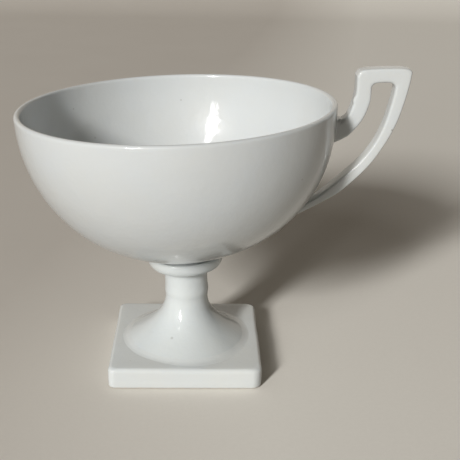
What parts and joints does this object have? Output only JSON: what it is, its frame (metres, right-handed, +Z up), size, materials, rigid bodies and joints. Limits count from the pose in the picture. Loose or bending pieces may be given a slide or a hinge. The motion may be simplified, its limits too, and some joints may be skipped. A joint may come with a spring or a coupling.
{
  "type": "footed teacup",
  "caption": "White glazed footed teacup with a round bowl, short flared stem, square plinth and a high angular strap handle.",
  "frame": {"origin": "on the table, at the centre of the cup's bounding box seen from above; the stem's axis stands at x = -8.13 mm, y = 0", "axes": "+X points out along the handle, +Y runs across the cup, +Z is up; the plinth's sides run along X and Y"},
  "size_m": [0.124, 0.1, 0.1014],
  "materials": {
    "bowl_glaze": "gloss",
    "handle_glaze": "gloss",
    "foot_glaze": "gloss",
    "plinth_glaze": "gloss",
    "slip_glaze": "gloss"
  },
  "bodies": {
    "root": {"bowl": "bowl_glaze", "bowl_slip": "slip_glaze", "collar": "foot_glaze", "handle": "handle_glaze", "handle_lower_slip": "slip_glaze", "handle_upper_slip": "slip_glaze", "neck_slip": "slip_glaze", "plinth": "plinth_glaze", "plinth_slip": "slip_glaze", "stem": "foot_glaze"}
  },
  "joints": []
}
